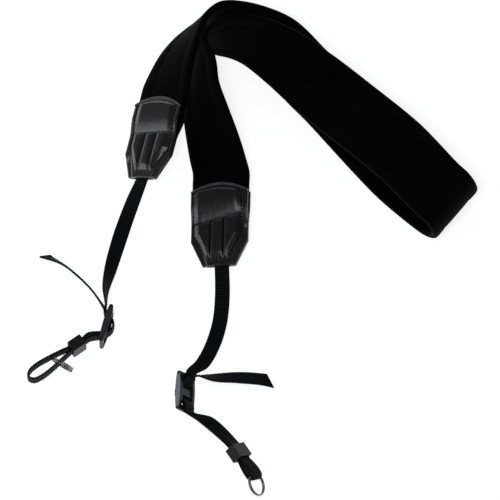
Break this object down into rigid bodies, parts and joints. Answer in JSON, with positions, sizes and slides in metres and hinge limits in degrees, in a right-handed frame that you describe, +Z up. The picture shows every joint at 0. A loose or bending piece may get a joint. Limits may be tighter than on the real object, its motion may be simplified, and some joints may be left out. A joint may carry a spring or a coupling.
{
  "type": "camera neck strap",
  "caption": "Padded neoprene neck strap folded in half, with leather end tabs, ribbed webbing straps, sliders, keepers and split rings, lying on a table.",
  "frame": {"origin": "on the table plane, under the middle of the strap's outline as it lies", "axes": "+Z up from the table, +Y from the split rings' end towards the bend of the pad, +X towards the pad's fold"},
  "size_m": [0.2994, 0.3385, 0.0425],
  "materials": {
    "neoprene": "matte knit-faced neoprene foam, black",
    "binding": "knitted stretch tape folded over the edge, black, stitched",
    "tab_leather": "satin black leather, padded panel and flutes",
    "tab_rim": "turned leather edge, worn dark grey",
    "webbing": "ribbed black polyester webbing",
    "plastic": "moulded dark grey plastic, satin",
    "ring_steel": "nickel-plated steel wire"
  },
  "bodies": {
    "root": {"neck_pad": "neoprene", "pad_binding_outer": "binding", "pad_binding_inner": "binding", "tab_front_left": "tab_leather", "tab_rim_left": "tab_rim", "tab_back_left": "tab_leather", "tab_front_right": "tab_leather", "tab_rim_right": "tab_rim", "tab_back_right": "tab_leather", "slider_left": "plastic", "keeper_left": "plastic", "split_ring_left": "ring_steel", "slider_right": "plastic", "keeper_right": "plastic", "split_ring_right": "ring_steel", "webbing_left": "webbing", "webbing_right": "webbing"}
  },
  "joints": []
}
